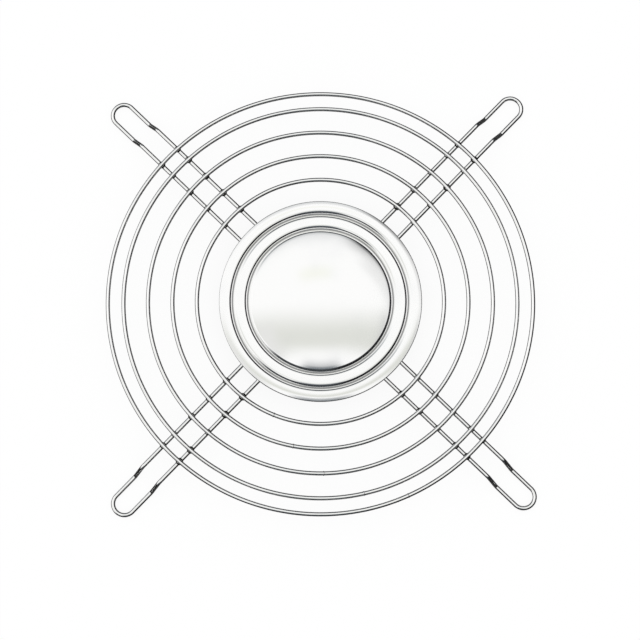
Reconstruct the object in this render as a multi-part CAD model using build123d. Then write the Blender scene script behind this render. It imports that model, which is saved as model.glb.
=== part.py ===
from build123d import *
import math
import os

# A wire finger guard for a square axial fan. Five hoops of round wire lie across four hairpin
# legs, and a pressed sheet disc covers the hub. The guard lies with the feet of its legs on
# z = 0, where the fan's face is. Its front faces +Z and its centre is on the Z axis.

# Fan that the guard fits
hole_pitch = 104.8
slot_width = 4.9

# Wires
ring_wire = 1.1
leg_wire = 1.1
weld_sink = 0.15

# Hairpin legs, from the screw loop inwards
leg_count = 4
first_leg_angle = 45.0
slot_length = 7.0
step_run = 3.25
step_height = 3.5
foot_bend_radius = 0.8
grid_bend_radius = 1.6

# Rings, from the legs' step inwards
ring_count = 5
step_to_outer_ring = 7.6
outer_gap = 4.15
ring_pitch = 6.47

# Butt weld that closes each ring
bead_height = 0.09
bead_width = 0.7
middle_weld_angle = -90.0
weld_stagger = 11.5

# Pressed disc, from its rim inwards
inner_ring_to_disc = 5.84
sheet = 0.6
rim_straight = 0.15
rim_inside_bend = 0.25
rim_width = 1.39
droop_angle = 14.0
droop_bend_radius = 5.2
flange_width = 1.46
land_width = 2.49
dome_slope = 14.8
dome_blend = 0.6

# Grooves pressed into the disc
groove_depth = 0.62
outer_flank_run = 0.59
inner_flank_run = 0.70
groove_floor = 0.24
root_radius = 0.25
shoulder_inside_bend = 0.55
leg_end_clearance = 0.3

# Heights and places that follow
leg_section_radius = leg_wire / 2
ring_section_radius = ring_wire / 2
foot_axis_z = leg_section_radius
grid_axis_z = foot_axis_z + step_height
ring_axis_z = grid_axis_z + leg_section_radius + ring_section_radius - weld_sink
rim_z = grid_axis_z + leg_section_radius - weld_sink
rail_offset = (slot_width + leg_wire) / 2
hole_radius = hole_pitch / math.sqrt(2)
step_foot = hole_radius - slot_length
step_top = step_foot - step_run
outer_ring_radius = step_top - step_to_outer_ring
inner_ring_radius = outer_ring_radius - outer_gap - ring_pitch * (ring_count - 2)
disc_radius = inner_ring_radius - inner_ring_to_disc
droop_start = disc_radius - rim_width
groove_width = inner_flank_run + groove_floor + outer_flank_run
outer_groove_edge = droop_start - flange_width
inner_groove_edge = outer_groove_edge - groove_width - land_width
dome_edge = inner_groove_edge - groove_width
leg_end = outer_groove_edge + sheet + leg_end_clearance


def ring_radius(number):
    """Radius of a ring's centre line. Ring 1 is the outer one, which stands closer to ring 2."""
    if number == 1:
        return outer_ring_radius
    return outer_ring_radius - outer_gap - ring_pitch * (number - 2)


def guard_ring(number):
    """A hoop of round wire with the small upset bead of the butt weld that closes it."""
    hoop = Torus(ring_radius(number), ring_section_radius)
    bead_section = Ellipse(bead_width / 2, ring_section_radius + bead_height)
    upper_half = Pos(0, ring_wire) * Rectangle(bead_width, 2 * ring_wire)
    bead = revolve(bead_section & upper_half, axis=Axis.X)
    weld_angle = middle_weld_angle + weld_stagger * ((ring_count + 1) / 2 - number)
    along_wire = Rot(0, 0, weld_angle) * Pos(ring_radius(number), 0, 0) * Rot(0, 0, 90)
    return Pos(0, 0, ring_axis_z) * (hoop + along_wire * bead)


def rail_line(side):
    """Centre line of one rail, from its end under the disc, down the step and to the loop."""
    y = side * rail_offset
    return FilletPolyline(
        (leg_end, y, grid_axis_z),
        (step_top, y, grid_axis_z),
        (step_foot, y, foot_axis_z),
        (hole_radius, y, foot_axis_z),
        radius=[grid_bend_radius, foot_bend_radius],
    )


def hairpin_leg(angle):
    """One wire bent to a hairpin: two rails, a step down to the fan and a loop for the screw."""
    near_rail = rail_line(-1)
    far_rail = rail_line(1)
    loop_tip = (hole_radius + rail_offset, 0, foot_axis_z)
    loop = ThreePointArc(near_rail @ 1, loop_tip, far_rail @ 1)
    path = Wire(near_rail.edges() + loop.edges() + far_rail.edges())
    section = Plane(origin=near_rail @ 0, z_dir=(1, 0, 0)) * Circle(leg_section_radius)
    return Rot(0, 0, angle) * sweep(section, path=path)


def groove_corners(outer_edge, flange_z):
    """Corners of one pressed groove in the disc's front face, from its inner lip outwards."""
    root_end = outer_edge - outer_flank_run
    root_start = root_end - groove_floor
    return [
        (root_start - inner_flank_run, flange_z),
        (root_start, flange_z - groove_depth),
        (root_end, flange_z - groove_depth),
        (outer_edge, flange_z),
    ]


def behind(corners, bends):
    """Corners and bend radii of the sheet's back face, one thickness to the right of its front."""
    points = [Vector(*corner) for corner in corners]
    runs = [(end - start).normalized() for start, end in zip(points, points[1:])]
    normals = [run.rotate(Axis.Z, -90) for run in runs]
    mitres = [(a + b) / (1 + a.dot(b)) for a, b in zip(normals, normals[1:])]
    shifts = [normals[0], *mitres, normals[-1]]
    turns = [math.copysign(1, a.cross(b).Z) for a, b in zip(runs, runs[1:])]
    back_corners = [point + shift * sheet for point, shift in zip(points, shifts)]
    return back_corners, [bend + turn * sheet for bend, turn in zip(bends, turns)]


def centre_disc():
    """A cap pressed from sheet: low dome, two grooves, flat flange and turned-down rim."""
    rim_bend = rim_inside_bend + sheet
    rim_corner_z = rim_z + rim_straight + rim_bend * math.tan(math.radians(90 - droop_angle) / 2)
    flange_z = rim_corner_z + rim_width * math.tan(math.radians(droop_angle))
    dome_corner = dome_edge / 2
    slope = math.radians(dome_slope)
    crown_z = flange_z + (dome_edge - dome_corner) * math.tan(slope)
    corners = [(0, crown_z), (dome_corner, crown_z)]
    corners += groove_corners(inner_groove_edge, flange_z)
    corners += groove_corners(outer_groove_edge, flange_z)
    corners += [(droop_start, flange_z), (disc_radius, rim_corner_z), (disc_radius, rim_z)]
    dome_bend = (dome_corner - dome_blend) / math.tan(slope / 2)
    shoulder = shoulder_inside_bend + sheet
    groove_bends = [shoulder, root_radius, root_radius, shoulder]
    bends = [dome_bend, *groove_bends, *groove_bends, droop_bend_radius, rim_bend]
    front = FilletPolyline(*corners, radius=bends)
    back_corners, back_bends = behind(corners, bends)
    back = FilletPolyline(*back_corners, radius=back_bends)
    axis_side = Line(front @ 0, back @ 0)
    rim_side = Line(front @ 1, back @ 1)
    section = make_face(front.edges() + rim_side.edges() + back.edges() + axis_side.edges())
    return revolve(Plane.XZ * section, axis=Axis.Z)


rings = {f"guard_ring_{n}": guard_ring(n) for n in range(1, ring_count + 1)}
disc = centre_disc()
legs = {}
for number in range(leg_count):
    leg = hairpin_leg(first_leg_angle + 360 / leg_count * number)
    for ring in rings.values():
        leg -= ring
    legs[f"hairpin_leg_{number + 1}"] = leg - disc

os.makedirs("parts", exist_ok=True)
for name, piece in {**rings, **legs, "centre_disc": disc}.items():
    export_step(piece, f"parts/{name}.step")
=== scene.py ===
import math

import bpy
from mathutils import Matrix, Vector


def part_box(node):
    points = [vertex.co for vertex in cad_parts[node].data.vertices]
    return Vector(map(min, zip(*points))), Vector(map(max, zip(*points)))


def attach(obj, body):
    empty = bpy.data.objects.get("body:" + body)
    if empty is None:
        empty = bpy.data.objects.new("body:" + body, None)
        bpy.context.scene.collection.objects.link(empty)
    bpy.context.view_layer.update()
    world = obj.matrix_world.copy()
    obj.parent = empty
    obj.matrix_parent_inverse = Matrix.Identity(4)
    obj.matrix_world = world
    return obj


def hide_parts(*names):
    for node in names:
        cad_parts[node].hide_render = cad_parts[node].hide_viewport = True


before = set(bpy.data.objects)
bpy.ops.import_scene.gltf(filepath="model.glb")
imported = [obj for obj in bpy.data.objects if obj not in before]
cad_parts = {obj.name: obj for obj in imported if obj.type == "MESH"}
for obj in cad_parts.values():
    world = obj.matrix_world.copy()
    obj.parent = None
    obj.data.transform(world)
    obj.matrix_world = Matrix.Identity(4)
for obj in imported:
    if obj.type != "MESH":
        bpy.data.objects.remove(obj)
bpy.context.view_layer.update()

MM = 0.001

# Guard rings.
# Five hoops of drawn steel wire, bent to a circle, butt welded end to end and later plated with
# bright nickel and chrome. They are the first pieces laid in the welding jig.

RING_COUNT = 5
RING_SEGMENTS = 640
WIRE_SIDES = 32
BEAD_HEIGHT = 0.09 * MM
BEAD_WIDTH = 0.7 * MM
MIDDLE_WELD_ANGLE = math.radians(-90.0)
WELD_STAGGER = math.radians(11.5)

ring_low, ring_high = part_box("guard_ring_1")
second_ring_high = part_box("guard_ring_2")[1]
wire_diameter = ring_high.z - ring_low.z - 2 * BEAD_HEIGHT
ring_axis_z = (ring_high.z + ring_low.z) / 2
outer_ring_radius = ring_high.x - wire_diameter / 2

PLATE_COLOUR = (0.975, 0.975, 0.968, 1)
PLATE_DEEP = (0.90, 0.905, 0.91, 1)


class Socket:
    """A socket of a node tree. Sums on it add Math nodes, and node() adds any other node."""

    def __init__(self, tree, output=None):
        self.tree = tree
        self.output = output

    def node(self, kind, settings=None, values=None, output=0):
        made = self.tree.nodes.new(kind)
        for name, setting in (settings or {}).items():
            if name == "stops":
                ramp = made.color_ramp
                for element, (place, colour) in zip(ramp.elements, setting):
                    element.position, element.color = place, colour
            else:
                setattr(made, name, setting)
        for name, value in (values or {}).items():
            if isinstance(value, Socket):
                self.tree.links.new(value.output, made.inputs[name])
            else:
                made.inputs[name].default_value = value
        return Socket(self.tree, made.outputs[output]) if made.outputs else None

    def sum(self, operation, first, second=0.0):
        return self.node("ShaderNodeMath", {"operation": operation}, {0: first, 1: second})

    def __add__(self, other):
        return self.sum("ADD", self, other)

    def __sub__(self, other):
        return self.sum("SUBTRACT", self, other)

    def __rsub__(self, other):
        return self.sum("SUBTRACT", other, self)

    def __mul__(self, other):
        return self.sum("MULTIPLY", self, other)

    def __truediv__(self, other):
        return self.sum("DIVIDE", self, other)

    def rise(self, low, high):
        """0 below low and 1 above high, with a smooth rise between."""
        return self.node(
            "ShaderNodeMapRange",
            {"interpolation_type": "SMOOTHSTEP"},
            {"Value": self, "From Min": low, "From Max": high},
        )

    __radd__ = __add__
    __rmul__ = __mul__


def new_material(name):
    """An empty node material, as (material, start, surface)."""
    material = bpy.data.materials.new(name)
    material.use_nodes = True
    material.node_tree.nodes.clear()
    return material, Socket(material.node_tree)


def end_material(start, surface):
    """Joins the surface shader to the material's output."""
    start.node("ShaderNodeOutputMaterial", None, {"Surface": surface})


def plated_wire():
    """Bright plate over drawn wire: fine die lines along the wire and a slightly uneven polish."""
    material, start = new_material("bright plate on drawn wire")
    drawn = start.node("ShaderNodeAttribute", {"attribute_name": "drawn"}, None, "Vector")
    place = start.node("ShaderNodeTexCoord", None, None, "Object")
    die_lines = start.node(
        "ShaderNodeTexNoise", None, {"Vector": drawn, "Scale": 9.0, "Detail": 3.0}
    )
    clouding = start.node(
        "ShaderNodeTexNoise", None, {"Vector": place, "Scale": 160.0, "Detail": 2.0}
    )
    colour = start.node(
        "ShaderNodeMix",
        {"data_type": "RGBA"},
        {"Factor": clouding.rise(0.45, 0.8) * 0.6, "A": PLATE_COLOUR, "B": PLATE_DEEP},
        "Result",
    )
    bump = start.node(
        "ShaderNodeBump", None, {"Height": die_lines, "Strength": 0.12, "Distance": 0.02 * MM}
    )
    surface = start.node(
        "ShaderNodeBsdfPrincipled",
        None,
        {
            "Base Color": colour,
            "Metallic": 1.0,
            "Roughness": 0.05 + clouding * 0.06,
            "Normal": bump,
        },
    )
    end_material(start, surface)
    return material


def add_input(tree, name, kind, value=None):
    """One named input of a Geometry Nodes tree."""
    made = tree.interface.new_socket(name, in_out="INPUT", socket_type=kind)
    if value is not None:
        made.default_value = value


def new_tree(name, inputs):
    """A Geometry Nodes tree with its named inputs, as (tree, a function that reads an input)."""
    tree = bpy.data.node_groups.new(name, "GeometryNodeTree")
    tree.is_modifier = True
    add_input(tree, "Geometry", "NodeSocketGeometry")
    for input_name, value in inputs.items():
        kind = "NodeSocketInt" if isinstance(value, int) else "NodeSocketFloat"
        add_input(tree, input_name, kind, value)
    add_input(tree, "Material", "NodeSocketMaterial")
    tree.interface.new_socket("Geometry", in_out="OUTPUT", socket_type="NodeSocketGeometry")
    entry = tree.nodes.new("NodeGroupInput")
    return Socket(tree), lambda name: Socket(tree, entry.outputs[name])


def end_tree(start, geometry, material):
    """Realizes what the tree made, gives it its material and hands it out."""
    real = start.node("GeometryNodeRealizeInstances", None, {"Geometry": geometry})
    painted = start.node("GeometryNodeSetMaterial", None, {"Geometry": real, "Material": material})
    start.node("NodeGroupOutput", None, {"Geometry": painted})
    return start.tree


def grow(name, base, tree, **values):
    """A finished mesh object that the tree makes from a base mesh, with its inputs set by name."""
    piece = bpy.data.objects.new(name, base)
    bpy.context.scene.collection.objects.link(piece)
    nodes = piece.modifiers.new("grow", "NODES")
    nodes.node_group = tree
    for item in tree.interface.items_tree:
        plain_name = item.name.lower().replace(" ", "_")
        if item.in_out == "INPUT" and plain_name in values:
            nodes[item.identifier] = values[plain_name]
    piece.update_tag()
    grown = piece.evaluated_get(bpy.context.evaluated_depsgraph_get())
    mesh = bpy.data.meshes.new_from_object(grown)
    piece.modifiers.clear()
    piece.data = mesh
    mesh.name = name
    return piece


def swept_wire(start, line, diameter, sides, caps):
    """Sweeps a round section along a curve and keeps where each point lies on the wire."""
    along = start.node("GeometryNodeSplineParameter", None, None, "Length")
    around = start.node("GeometryNodeSplineParameter", None, None, "Factor")
    section = start.node(
        "GeometryNodeCurvePrimitiveCircle", None, {"Resolution": sides, "Radius": diameter * 0.5}
    )
    turn = around * math.tau
    ring_place = start.node(
        "ShaderNodeCombineXYZ",
        None,
        {"X": start.sum("COSINE", turn), "Y": start.sum("SINE", turn)},
    )
    section = start.node(
        "GeometryNodeStoreNamedAttribute",
        {"data_type": "FLOAT_VECTOR", "domain": "POINT"},
        {"Geometry": section, "Name": "round", "Value": ring_place},
    )
    line = start.node(
        "GeometryNodeStoreNamedAttribute",
        {"data_type": "FLOAT", "domain": "POINT"},
        {"Geometry": line, "Name": "along", "Value": along},
    )
    wire = start.node(
        "GeometryNodeCurveToMesh", None, {"Curve": line, "Profile Curve": section, "Fill Caps": caps}
    )
    round_place = start.node(
        "GeometryNodeInputNamedAttribute", {"data_type": "FLOAT_VECTOR"}, {"Name": "round"}
    )
    length_place = start.node(
        "GeometryNodeInputNamedAttribute", {"data_type": "FLOAT"}, {"Name": "along"}
    )
    lengthwise = start.node("ShaderNodeCombineXYZ", None, {"Z": length_place * 60.0})
    drawn = start.node(
        "ShaderNodeVectorMath", {"operation": "ADD"}, {0: round_place, 1: lengthwise}
    )
    wire = start.node(
        "GeometryNodeStoreNamedAttribute",
        {"data_type": "FLOAT_VECTOR", "domain": "POINT"},
        {"Geometry": wire, "Name": "drawn", "Value": drawn},
    )
    return start.node("GeometryNodeSetShadeSmooth", None, {"Geometry": wire})


def hoop_tree():
    """A closed hoop of round wire with the upset bead of its butt weld."""
    start, given = new_tree(
        "hoop",
        {
            "Ring radius": 0.05,
            "Axis height": 0.005,
            "Wire diameter": 0.001,
            "Segments": 64,
            "Sides": 16,
            "Weld angle": 0.0,
            "Bead width": 0.001,
            "Bead height": 0.0001,
        },
    )
    circle = start.node(
        "GeometryNodeCurvePrimitiveCircle",
        None,
        {"Resolution": given("Segments"), "Radius": given("Ring radius")},
    )
    hoop = swept_wire(start, circle, given("Wire diameter"), given("Sides"), False)
    ball = start.node(
        "GeometryNodeMeshUVSphere", None, {"Segments": 32, "Rings": 20, "Radius": 1.0}
    )
    ball = start.node("GeometryNodeSetShadeSmooth", None, {"Geometry": ball})
    thickness = given("Wire diameter") * 0.5 + given("Bead height")
    shape = start.node(
        "ShaderNodeCombineXYZ",
        None,
        {"X": thickness, "Y": given("Bead width") * 0.5, "Z": thickness},
    )
    on_ring = start.node("ShaderNodeCombineXYZ", None, {"X": given("Ring radius")})
    bead = start.node(
        "GeometryNodeTransform", None, {"Geometry": ball, "Translation": on_ring, "Scale": shape}
    )
    turned = start.node("ShaderNodeCombineXYZ", None, {"Z": given("Weld angle")})
    bead = start.node("GeometryNodeTransform", None, {"Geometry": bead, "Rotation": turned})
    both = start.node("GeometryNodeJoinGeometry")
    join = both.output.node
    start.tree.links.new(bead.output, join.inputs[0])
    start.tree.links.new(hoop.output, join.inputs[0])
    raised = start.node("ShaderNodeCombineXYZ", None, {"Z": given("Axis height")})
    placed = start.node("GeometryNodeTransform", None, {"Geometry": both, "Translation": raised})
    return end_tree(start, placed, given("Material"))


wire_plate = plated_wire()
hoop_nodes = hoop_tree()
ring_radii = []
for number in range(1, RING_COUNT + 1):
    node = f"guard_ring_{number}"
    node_low, node_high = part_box(node)
    ring_radii.append(node_high.x - wire_diameter / 2)
    hoop = grow(
        f"wire_hoop_{number}",
        bpy.data.meshes.new(node),
        hoop_nodes,
        ring_radius=ring_radii[-1],
        axis_height=ring_axis_z,
        wire_diameter=wire_diameter,
        segments=RING_SEGMENTS,
        sides=WIRE_SIDES,
        weld_angle=MIDDLE_WELD_ANGLE + WELD_STAGGER * ((RING_COUNT + 1) / 2 - number),
        bead_width=BEAD_WIDTH,
        bead_height=BEAD_HEIGHT,
        material=wire_plate,
    )
    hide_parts(node)
    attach(hoop, "root")

# Hairpin legs.
# Four lengths of the same wire, each bent to a hairpin on a bending machine: two rails under the
# rings, a step down to the fan, and a loop for the screw. Rings and legs are resistance welded.

LEG_COUNT = 4
FIRST_LEG_ANGLE = math.radians(45.0)
HOLE_PITCH = 104.8 * MM
SLOT_WIDTH = 4.9 * MM
SLOT_LENGTH = 7.0 * MM
STEP_RUN = 3.25 * MM
FOOT_BEND = 0.8 * MM
GRID_BEND = 1.6 * MM
WELD_SINK = 0.15 * MM
FLANGE_COVER = 1.95 * MM
BEND_SEGMENTS = 24

disc_low, disc_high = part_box("centre_disc")
rail_offset = (SLOT_WIDTH + wire_diameter) / 2
loop_bend = rail_offset * 0.995
foot_axis_z = wire_diameter / 2
grid_axis_z = ring_axis_z - wire_diameter + WELD_SINK
hole_radius = HOLE_PITCH / math.sqrt(2)
step_foot = hole_radius - SLOT_LENGTH
step_top = step_foot - STEP_RUN
leg_end = disc_high.x - FLANGE_COVER


def bent_wire_tree():
    """Round wire along a path of straight runs, bent at each point to that point's own radius."""
    start, given = new_tree(
        "bent wire", {"Wire diameter": 0.001, "Bend segments": 8, "Sides": 16}
    )
    line = start.node("GeometryNodeMeshToCurve", None, {"Mesh": given("Geometry")})
    bend = start.node(
        "GeometryNodeInputNamedAttribute", {"data_type": "FLOAT"}, {"Name": "bend"}
    )
    line = start.node(
        "GeometryNodeFilletCurve",
        {"mode": "POLY"},
        {"Curve": line, "Count": given("Bend segments"), "Radius": bend, "Limit Radius": True},
    )
    wire = swept_wire(start, line, given("Wire diameter"), given("Sides"), True)
    return end_tree(start, wire, given("Material"))


def leg_path(name, angle):
    """The leg's corners as a chain of edges, with each corner's bend radius on its point."""
    half = [
        (leg_end, grid_axis_z, 0.0),
        (step_top, grid_axis_z, GRID_BEND),
        (step_foot, foot_axis_z, FOOT_BEND),
        (hole_radius + rail_offset, foot_axis_z, loop_bend),
    ]
    corners = [(x, -rail_offset, z, bend) for x, z, bend in half]
    corners += [(x, rail_offset, z, bend) for x, z, bend in reversed(half)]
    turn = Matrix.Rotation(angle, 3, "Z")
    points = [turn @ Vector(corner[:3]) for corner in corners]
    path = bpy.data.meshes.new(name)
    path.from_pydata(points, [(n, n + 1) for n in range(len(points) - 1)], [])
    bends = path.attributes.new("bend", "FLOAT", "POINT")
    for item, corner in zip(bends.data, corners):
        item.value = corner[3]
    return path


bent_wire_nodes = bent_wire_tree()
for number in range(LEG_COUNT):
    node = f"hairpin_leg_{number + 1}"
    leg = grow(
        f"bent_wire_leg_{number + 1}",
        leg_path(node, FIRST_LEG_ANGLE + math.tau / LEG_COUNT * number),
        bent_wire_nodes,
        wire_diameter=wire_diameter,
        bend_segments=BEND_SEGMENTS,
        sides=WIRE_SIDES,
        material=wire_plate,
    )
    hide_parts(node)
    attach(leg, "root")

# Weld flash at the crossings.
# Each ring is pressed 0.15 mm into both rails of each leg while current runs through the pair. The
# softened steel squeezes out into the four corners of the crossing and is plated over, dull. Its
# near-black colour is painted shade, for the shade that falls in those corners.

FLASH_REACH = 0.92 * MM
FLASH_THICKNESS = 0.24 * MM
FLASH_UNEVEN = 0.12
FLASH_SEED = 7
# Painted shade: the flash is coloured near black for the shade in the corners of each crossing.
FLASH_PAINTED_SHADE = (0.06, 0.058, 0.055, 1)
FLASH_PAINTED_SHADE_DEEP = (0.02, 0.018, 0.016, 1)


def flash_painted_shade():
    """Squeezed-out steel under thin plate: rough, coloured near black as painted shade, with random
    grain.
    """
    material, start = new_material("weld flash")
    place = start.node("ShaderNodeTexCoord", None, None, "Object")
    grain = start.node("ShaderNodeTexNoise", None, {"Vector": place, "Scale": 2600.0})
    colour = start.node(
        "ShaderNodeMix",
        {"data_type": "RGBA"},
        {"Factor": grain.rise(0.35, 0.65), "A": FLASH_PAINTED_SHADE, "B": FLASH_PAINTED_SHADE_DEEP},
        "Result",
    )
    bump = start.node(
        "ShaderNodeBump", None, {"Height": grain, "Strength": 0.5, "Distance": 0.05 * MM}
    )
    surface = start.node(
        "ShaderNodeBsdfPrincipled",
        None,
        {"Base Color": colour, "Metallic": 1.0, "Roughness": 0.4 + grain * 0.2, "Normal": bump},
    )
    end_material(start, surface)
    return material


def flash_tree():
    """A flattened drop of metal on every point, turned and sized a little unevenly."""
    start, given = new_tree("weld flash", {"Reach": 0.001, "Thickness": 0.0005, "Uneven": 0.1})
    drop = start.node(
        "GeometryNodeMeshUVSphere", None, {"Segments": 20, "Rings": 10, "Radius": 1.0}
    )
    drop = start.node("GeometryNodeSetShadeSmooth", None, {"Geometry": drop})
    shape = start.node(
        "ShaderNodeCombineXYZ",
        None,
        {"X": given("Reach"), "Y": given("Reach"), "Z": given("Thickness")},
    )
    drop = start.node("GeometryNodeTransform", None, {"Geometry": drop, "Scale": shape})
    size = start.node(
        "FunctionNodeRandomValue",
        {"data_type": "FLOAT"},
        {2: 1.0 - given("Uneven"), 3: given("Uneven") + 1.0, "Seed": FLASH_SEED},
        1,
    )
    drops = start.node(
        "GeometryNodeInstanceOnPoints",
        None,
        {"Points": given("Geometry"), "Instance": drop, "Scale": size},
    )
    return end_tree(start, drops, given("Material"))


def crossings():
    """The middle of every ring and rail crossing, where the two wires touch."""
    seat_z = grid_axis_z + (wire_diameter - WELD_SINK) / 2
    points = []
    for number in range(LEG_COUNT):
        turn = Matrix.Rotation(FIRST_LEG_ANGLE + math.tau / LEG_COUNT * number, 3, "Z")
        for radius in ring_radii:
            along = math.sqrt(radius**2 - rail_offset**2)
            points += [turn @ Vector((along, side * rail_offset, seat_z)) for side in (-1, 1)]
    return points


flash_points = bpy.data.meshes.new("crossings")
flash_points.from_pydata(crossings(), [], [])
flash = grow(
    "weld_flash",
    flash_points,
    flash_tree(),
    reach=FLASH_REACH,
    thickness=FLASH_THICKNESS,
    uneven=FLASH_UNEVEN,
    # The flash's material is painted shade for the crossing corners.
    material=flash_painted_shade(),
)
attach(flash, "root")

# Centre disc.
# A cap pressed from thin steel sheet: a low dome, two grooves, a flange and a turned-down rim. It
# is welded by its rim to the ends of the rails and plated with the rest.

SHEET = 0.6 * MM
RIM_WIDTH = 1.39 * MM
RIM_STRAIGHT = 0.15 * MM
RIM_BEND = 0.85 * MM
RIM_EDGE = 0.25 * MM
DROOP_ANGLE = math.radians(14.0)
DROOP_BEND = 5.2 * MM
FLANGE_WIDTH = 1.46 * MM
LAND_WIDTH = 2.49 * MM
GROOVE_DEPTH = 0.62 * MM
OUTER_FLANK = 0.59 * MM
INNER_FLANK = 0.70 * MM
GROOVE_FLOOR = 0.24 * MM
ROOT_BEND = 0.25 * MM
SHOULDER_BEND = 1.15 * MM
DOME_SLOPE = math.radians(14.8)
DOME_BLEND = 0.6 * MM
DISC_SEGMENTS = 360
ARC_STEP = math.radians(3.0)
# Painted shade: the plate's colour is darkened at the bottom of each groove, where shade falls.
GROOVE_SHADE_CORE = 0.05 * MM
GROOVE_SHADE_REACH = 0.32 * MM
GROOVE_SHADE_DEPTH = 0.7
GROOVE_SHADE_COLOUR = (0.05, 0.05, 0.05, 1)


def rounded(corners, bends):
    """A line of straight runs whose inner corners are arcs of the given radii."""
    line = [corners[0]]
    for before, corner, after, bend in zip(corners, corners[1:], corners[2:], bends):
        arriving = (corner - before).normalized()
        leaving = (after - corner).normalized()
        turn = math.atan2(arriving.x * leaving.y - arriving.y * leaving.x, arriving.dot(leaving))
        reach = bend * math.tan(abs(turn) / 2)
        side = math.copysign(1, turn)
        middle = corner - arriving * reach + Vector((-arriving.y, arriving.x)) * bend * side
        steps = max(2, math.ceil(abs(turn) / ARC_STEP))
        spoke = corner - arriving * reach - middle
        for step in range(steps + 1):
            line.append(middle + Matrix.Rotation(turn * step / steps, 2) @ spoke)
    return line + [corners[-1]]


def groove(outer_edge, flange_z):
    """The four corners of one groove in the front face, from its inner lip outwards."""
    root_end = outer_edge - OUTER_FLANK
    root_start = root_end - GROOVE_FLOOR
    return [
        Vector((root_start - INNER_FLANK, flange_z)),
        Vector((root_start, flange_z - GROOVE_DEPTH)),
        Vector((root_end, flange_z - GROOVE_DEPTH)),
        Vector((outer_edge, flange_z)),
    ]


outer_edge = disc_high.x - RIM_WIDTH - FLANGE_WIDTH
groove_width = OUTER_FLANK + GROOVE_FLOOR + INNER_FLANK
inner_edge = outer_edge - groove_width - LAND_WIDTH
groove_middles = [edge - OUTER_FLANK - GROOVE_FLOOR / 2 for edge in (inner_edge, outer_edge)]


def disc_section():
    """The sheet's closed section: its front line from the axis to the rim, and its back again."""
    disc_radius, rim_z = disc_high.x, disc_low.z
    rim_corner_z = rim_z + RIM_STRAIGHT + RIM_BEND * math.tan((math.pi / 2 - DROOP_ANGLE) / 2)
    flange_z = rim_corner_z + RIM_WIDTH * math.tan(DROOP_ANGLE)
    dome_corner = (inner_edge - groove_width) / 2
    crown_z = flange_z + dome_corner * math.tan(DOME_SLOPE)
    corners = [Vector((0, crown_z)), Vector((dome_corner, crown_z))]
    corners += groove(inner_edge, flange_z) + groove(outer_edge, flange_z)
    corners += [Vector((outer_edge + FLANGE_WIDTH, flange_z)), Vector((disc_radius, rim_corner_z))]
    corners += [Vector((disc_radius, rim_z))]
    dome_bend = (dome_corner - DOME_BLEND) / math.tan(DOME_SLOPE / 2)
    groove_bends = [SHOULDER_BEND, ROOT_BEND, ROOT_BEND, SHOULDER_BEND]
    bends = [dome_bend, *groove_bends, *groove_bends, DROOP_BEND, RIM_BEND]
    runs = [(b - a).normalized() for a, b in zip(corners, corners[1:])]
    normals = [Vector((run.y, -run.x)) for run in runs]
    mitres = [(a + b) / (1 + a.dot(b)) for a, b in zip(normals, normals[1:])]
    shifts = [normals[0], *mitres, normals[-1]]
    turns = [a.x * b.y - a.y * b.x for a, b in zip(runs, runs[1:])]
    back = [corner + shift * SHEET for corner, shift in zip(corners, shifts)]
    back_bends = [bend + math.copysign(SHEET, turn) for bend, turn in zip(bends, turns)]
    return rounded(corners, [*bends[:-1], RIM_EDGE]), rounded(back, back_bends)


def turned_sheet(name, front, back):
    """The closed section turned round the Z axis into a mesh, with one point at each pole."""
    rim = front[1:] + list(reversed(back[1:]))
    points = []
    for n in range(DISC_SEGMENTS):
        angle = math.tau * n / DISC_SEGMENTS
        points += [(p.x * math.cos(angle), p.x * math.sin(angle), p.y) for p in rim]
    front_pole, back_pole = len(points), len(points) + 1
    points += [(0, 0, front[0].y), (0, 0, back[0].y)]
    faces = []
    for n in range(DISC_SEGMENTS):
        here = n * len(rim)
        there = (n + 1) % DISC_SEGMENTS * len(rim)
        faces.append((front_pole, here, there))
        for k in range(len(rim) - 1):
            faces.append((here + k, here + k + 1, there + k + 1, there + k))
        faces.append((back_pole, there + len(rim) - 1, here + len(rim) - 1))
    mesh = bpy.data.meshes.new(name)
    mesh.from_pydata(points, [], faces)
    mesh.polygons.foreach_set("use_smooth", [True] * len(mesh.polygons))
    mesh.set_sharp_from_angle(angle=math.radians(50))
    mesh.update()
    return mesh


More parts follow.
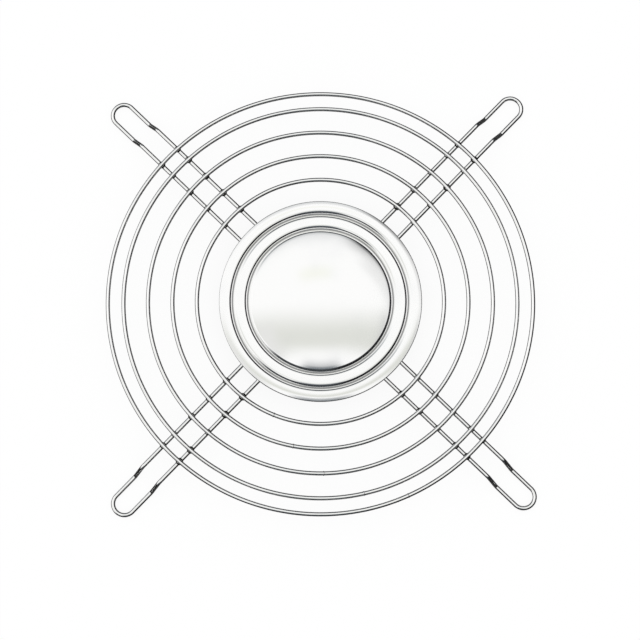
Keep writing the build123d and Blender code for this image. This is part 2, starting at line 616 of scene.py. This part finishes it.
def plated_sheet(grooves):
    """Bright plate over pressed sheet: faint grain, polish haze, pinholes and painted shade in the
    groove bottoms.
    """
    material, start = new_material("bright plate on pressed sheet")
    place = start.node("ShaderNodeTexCoord", None, None, "Object")
    haze = start.node(
        "ShaderNodeTexNoise", None, {"Vector": place, "Scale": 90.0, "Detail": 3.0}
    )
    stretched = start.node(
        "ShaderNodeVectorMath", {"operation": "MULTIPLY"}, {0: place, 1: (400.0, 9000.0, 400.0)}
    )
    rolling = start.node("ShaderNodeTexNoise", None, {"Vector": stretched, "Scale": 1.0})
    pinholes = start.node(
        "ShaderNodeTexVoronoi", None, {"Vector": place, "Scale": 420.0}, "Distance"
    )
    pits = 1.0 - pinholes.rise(0.02, 0.045)
    colour = start.node(
        "ShaderNodeMix",
        {"data_type": "RGBA"},
        {"Factor": haze.rise(0.5, 0.8) * 0.5, "A": PLATE_COLOUR, "B": PLATE_DEEP},
        "Result",
    )
    flat = start.node("ShaderNodeVectorMath", {"operation": "MULTIPLY"}, {0: place, 1: (1, 1, 0)})
    radius = start.node("ShaderNodeVectorMath", {"operation": "LENGTH"}, {0: flat}, "Value")
    # Painted shade darkens the plate's colour at the bottom of each groove.
    for middle in grooves:
        aside = start.sum("ABSOLUTE", radius - middle)
        bottom = (1.0 - aside.rise(GROOVE_SHADE_CORE, GROOVE_SHADE_REACH)) * GROOVE_SHADE_DEPTH
        colour = start.node(
            "ShaderNodeMix",
            {"data_type": "RGBA"},
            {"Factor": bottom, "A": colour, "B": GROOVE_SHADE_COLOUR},
            "Result",
        )
    bump = start.node(
        "ShaderNodeBump",
        None,
        {"Height": rolling * 0.3 - pits, "Strength": 0.06, "Distance": 0.01 * MM},
    )
    surface = start.node(
        "ShaderNodeBsdfPrincipled",
        None,
        {
            "Base Color": colour,
            "Metallic": 1.0,
            "Roughness": 0.07 + haze * 0.06,
            "Normal": bump,
        },
    )
    end_material(start, surface)
    return material


disc_mesh = turned_sheet("pressed_disc", *disc_section())
disc_mesh.materials.append(plated_sheet(groove_middles))
disc = bpy.data.objects.new("pressed_disc", disc_mesh)
bpy.context.scene.collection.objects.link(disc)
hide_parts("centre_disc")
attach(disc, "root")

# Floor.
# A plain white table top that the guard lies on, lit only round the guard. It shows white to the
# camera, grey in the plate, and keeps a soft shadow under the wires.

FLOOR_REACH = 3.0
FLOOR_GLOW = 0.9
LIT_REACH = 62 * MM
DARK_REACH = 80 * MM
LIT_LEVEL = 0.06
DARK_LEVEL = 0.02


def table_top():
    """White that is partly its own light, so that it shows white, and partly lit, for shadow."""
    material, start = new_material("white table top")
    place = start.node("ShaderNodeTexCoord", None, None, "Object")
    fleck = start.node("ShaderNodeTexNoise", None, {"Vector": place, "Scale": 300.0})
    lit = start.node(
        "ShaderNodeBsdfPrincipled",
        None,
        {"Base Color": (1, 1, 1, 1), "Roughness": 0.9 + fleck * 0.1, "Specular IOR Level": 0.0},
    )
    outside = start.node("ShaderNodeVectorMath", {"operation": "LENGTH"}, {0: place}, "Value")
    outside = outside.rise(LIT_REACH, DARK_REACH)
    mirrored = LIT_LEVEL + outside * (DARK_LEVEL - LIT_LEVEL)
    ray = start.node("ShaderNodeLightPath")
    camera_ray = Socket(start.tree, ray.output.node.outputs["Is Camera Ray"])
    glossy_ray = Socket(start.tree, ray.output.node.outputs["Is Glossy Ray"])
    clear_ray = Socket(start.tree, ray.output.node.outputs["Is Transmission Ray"])
    plate_ray = start.sum("MAXIMUM", glossy_ray, clear_ray)
    glow = start.node("ShaderNodeEmission", None, {"Strength": camera_ray + plate_ray * mirrored})
    surface = start.node(
        "ShaderNodeMixShader", None, {0: camera_ray * FLOOR_GLOW + plate_ray, 1: lit, 2: glow}
    )
    end_material(start, surface)
    return material


floor_mesh = bpy.data.meshes.new("table_top")
corners = [(-1, -1), (1, -1), (1, 1), (-1, 1)]
floor_mesh.from_pydata([(x * FLOOR_REACH, y * FLOOR_REACH, 0) for x, y in corners], [], [(0, 1, 2, 3)])
floor_mesh.materials.append(table_top())
floor = bpy.data.objects.new("table_top", floor_mesh)
bpy.context.scene.collection.objects.link(floor)

# Studio light.
# A white tent over the table lights the guard evenly. In the plate it shows as white overhead,
# with the darker room round its edge: deepest to the lower right, open to the left.

ROOM = {
    "haze to the left": (205, 18, 58, 68, 3, (0.80, 0.80, 0.79)),
    "haze to the lower right": (325, 38, 40, 62, 3, (0.60, 0.60, 0.59)),
    "haze to the right": (8, 44, 30, 59, 1.5, (0.86, 0.86, 0.86)),
    "haze behind": (90, 50, 0, 50, 5, (0.48, 0.50, 0.51)),
    "warm patch behind": (95, 16, 66, 72, 3, (0.94, 0.95, 0.89)),
    "horizon": (-30, 130, -4, 12, 5, (0.03, 0.03, 0.03)),
    "left horizon": (185, 40, -4, 5, 4, (0.30, 0.30, 0.30)),
    "room behind": (85, 38, -4, 35, 10, (0.04, 0.044, 0.048)),
    "room to the right": (5, 62, -4, 52, 4, (0.03, 0.03, 0.033)),
    "photographer": (270, 18, 40, 69, 3, (0.17, 0.19, 0.21)),
    "room in front": (262, 44, -4, 48, 8, (0.045, 0.05, 0.055)),
    "room to the lower right": (315, 30, -4, 54, 3, (0.012, 0.012, 0.014)),
}
BAR_LEVEL = (0.745, 0.755, 0.715)
BAR_RISE = (-0.15, 0.14)
BAR_FALL = (0.18, 0.31)


def card_mask(x, y, z, azimuth, half_width, low, high, soft):
    """1 where a direction lies on a card round that azimuth, from low to high above the table."""
    level = x.sum("SQRT", x * x + y * y + 1e-6)
    heading = math.radians(azimuth)
    facing = (x * math.cos(heading) + y * math.sin(heading)) / level
    outer = math.cos(math.radians(min(half_width + 10, 179)))
    inside = facing.rise(outer, math.cos(math.radians(half_width - 10)))
    bottom = z.rise(math.sin(math.radians(low - soft)), math.sin(math.radians(low + soft)))
    top = z.rise(math.sin(math.radians(high - soft)), math.sin(math.radians(high + soft)))
    return inside * bottom * (1.0 - top)


def studio():
    """White light, with the room's darker parts shown only in reflections."""
    world = bpy.data.worlds.new("white tent")
    world.use_nodes = True
    world.node_tree.nodes.clear()
    bpy.context.scene.world = world
    start = Socket(world.node_tree)
    direction = start.node("ShaderNodeTexCoord", None, None, "Generated")
    parts = start.node("ShaderNodeSeparateXYZ", None, {"Vector": direction}).output.node.outputs
    x, y, z = (Socket(start.tree, parts[axis]) for axis in "XYZ")
    lean = 0.0 - y
    bar = lean.rise(*BAR_RISE) * (1.0 - lean.rise(*BAR_FALL)) * z.rise(0.5, 0.8)
    colour = start.node(
        "ShaderNodeMix",
        {"data_type": "RGBA"},
        {"Factor": bar, "A": (1, 1, 1, 1), "B": (*BAR_LEVEL, 1)},
        "Result",
    )
    for azimuth, half_width, low, high, soft, shade in ROOM.values():
        colour = start.node(
            "ShaderNodeMix",
            {"data_type": "RGBA"},
            {
                "Factor": card_mask(x, y, z, azimuth, half_width, low, high, soft),
                "A": colour,
                "B": (*shade, 1),
            },
            "Result",
        )
    ray = start.node("ShaderNodeLightPath", None, None, "Is Glossy Ray")
    white = (1, 1, 1, 1)
    shown = start.node(
        "ShaderNodeMix", {"data_type": "RGBA"}, {"Factor": ray, "A": white, "B": colour}, "Result"
    )
    light = start.node("ShaderNodeBackground", None, {"Color": shown, "Strength": 1.0})
    start.node("ShaderNodeOutputWorld", None, {"Surface": light})


studio()

# Camera.
# It looks down on the front of the guard from a little below the middle of the picture, with a
# slight roll. Its distance is in the plane of the rings.

CAMERA_DISTANCE = 474 * MM
CAMERA_TILT = math.radians(8.4)
CAMERA_ROLL = math.radians(0.99)
AIM_RIGHT = 0.14 * MM
AIM_UP = 5.12 * MM
SENSOR = 36.0
IMAGE_PIXELS = 640
PIXEL_SIZE = 0.2646 * MM

to_camera = Matrix.Rotation(CAMERA_TILT, 3, "X").transposed() @ Matrix.Rotation(CAMERA_ROLL, 3, "Z")
ring_centre = Vector((0, 0, ring_axis_z))
centre_seen = Vector((AIM_RIGHT, AIM_UP, -CAMERA_DISTANCE))
lens = bpy.data.cameras.new("camera")
lens.sensor_width = SENSOR
lens.lens = SENSOR * CAMERA_DISTANCE / (IMAGE_PIXELS * PIXEL_SIZE)
lens.clip_start = 0.01
camera = bpy.data.objects.new("camera", lens)
bpy.context.scene.collection.objects.link(camera)
camera.matrix_world = Matrix.Translation(
    ring_centre - to_camera.transposed() @ centre_seen
) @ to_camera.transposed().to_4x4()
bpy.context.scene.camera = camera
bpy.context.scene.view_settings.view_transform = "Standard"
